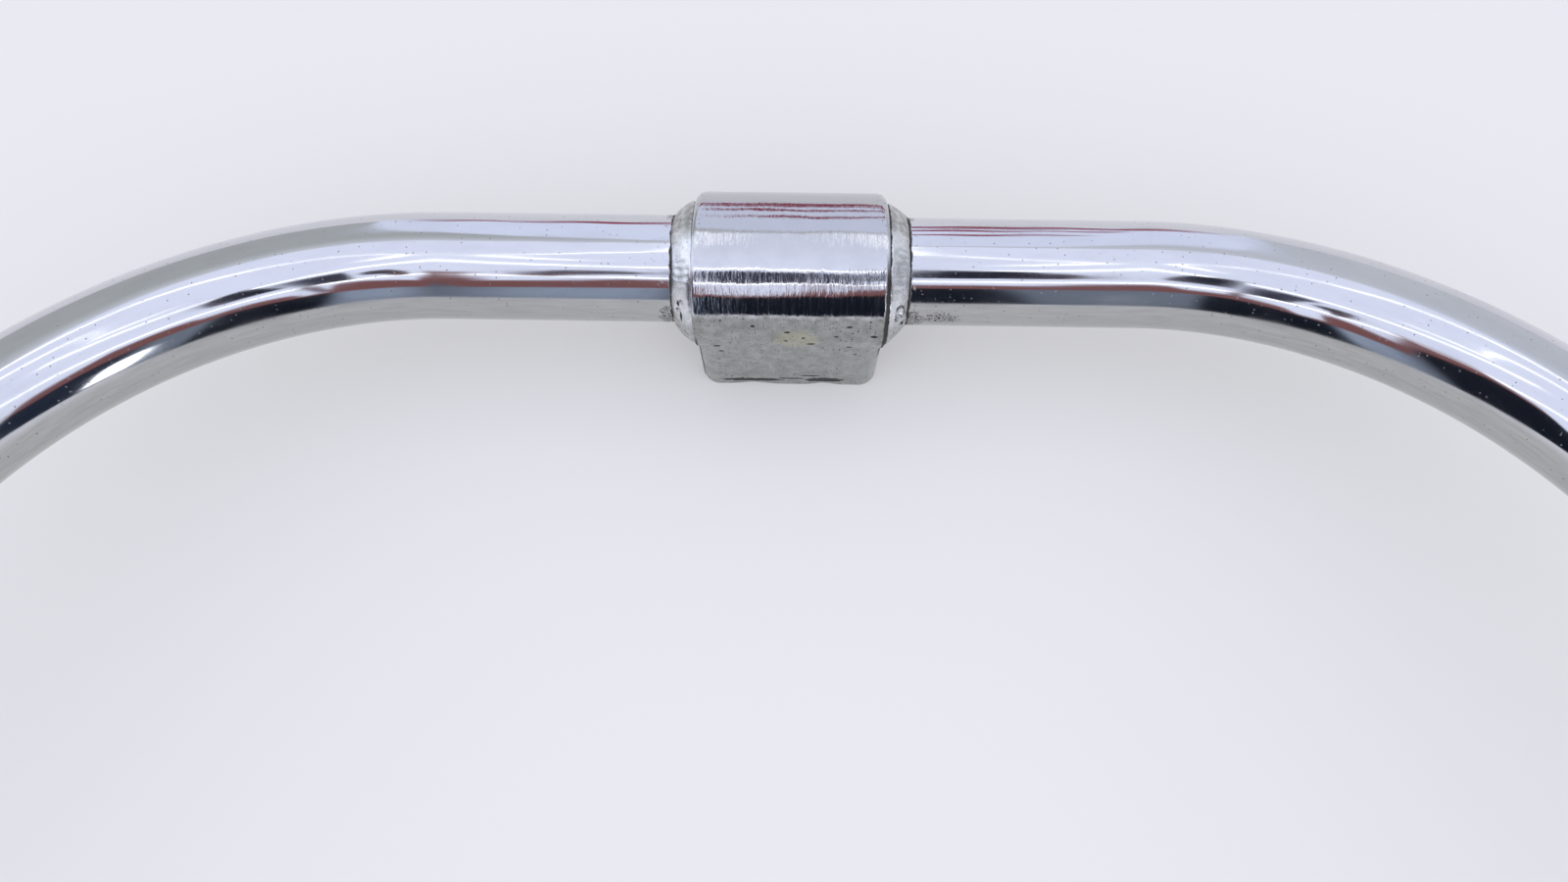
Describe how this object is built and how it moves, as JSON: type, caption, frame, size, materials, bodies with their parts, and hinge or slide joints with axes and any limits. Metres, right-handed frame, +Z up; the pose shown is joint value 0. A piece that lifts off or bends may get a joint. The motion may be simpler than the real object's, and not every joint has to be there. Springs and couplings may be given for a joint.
{
  "type": "motorcycle handlebar",
  "caption": "Swept-back chromed tube handlebar, welded into a round-topped centre boss that bolts down on its flat foot.",
  "frame": {"origin": "centre of the boss's flat foot face", "axes": "+Z up out of the foot towards the bar, +X along the bar to the rider's right, +Y forward; the grips sweep back towards -Y"},
  "size_m": [0.8542, 0.3117, 0.1032],
  "materials": {
    "tube_chrome": "bright plate with fine scratches",
    "boss_chrome": "bright plate over brushing marks, pitted on the rear flank",
    "weld_chrome": "satin plate over a hand-dressed bead",
    "bare_steel": "turned"
  },
  "bodies": {
    "root": {"centre_boss": "boss_chrome", "centre_spigot": "bare_steel", "left_bar_tube": "tube_chrome", "right_bar_tube": "tube_chrome", "left_weld_bead": "weld_chrome", "right_weld_bead": "weld_chrome", "left_end_bush": "bare_steel", "right_end_bush": "bare_steel", "left_end_weld": "weld_chrome", "right_end_weld": "weld_chrome"}
  },
  "joints": []
}
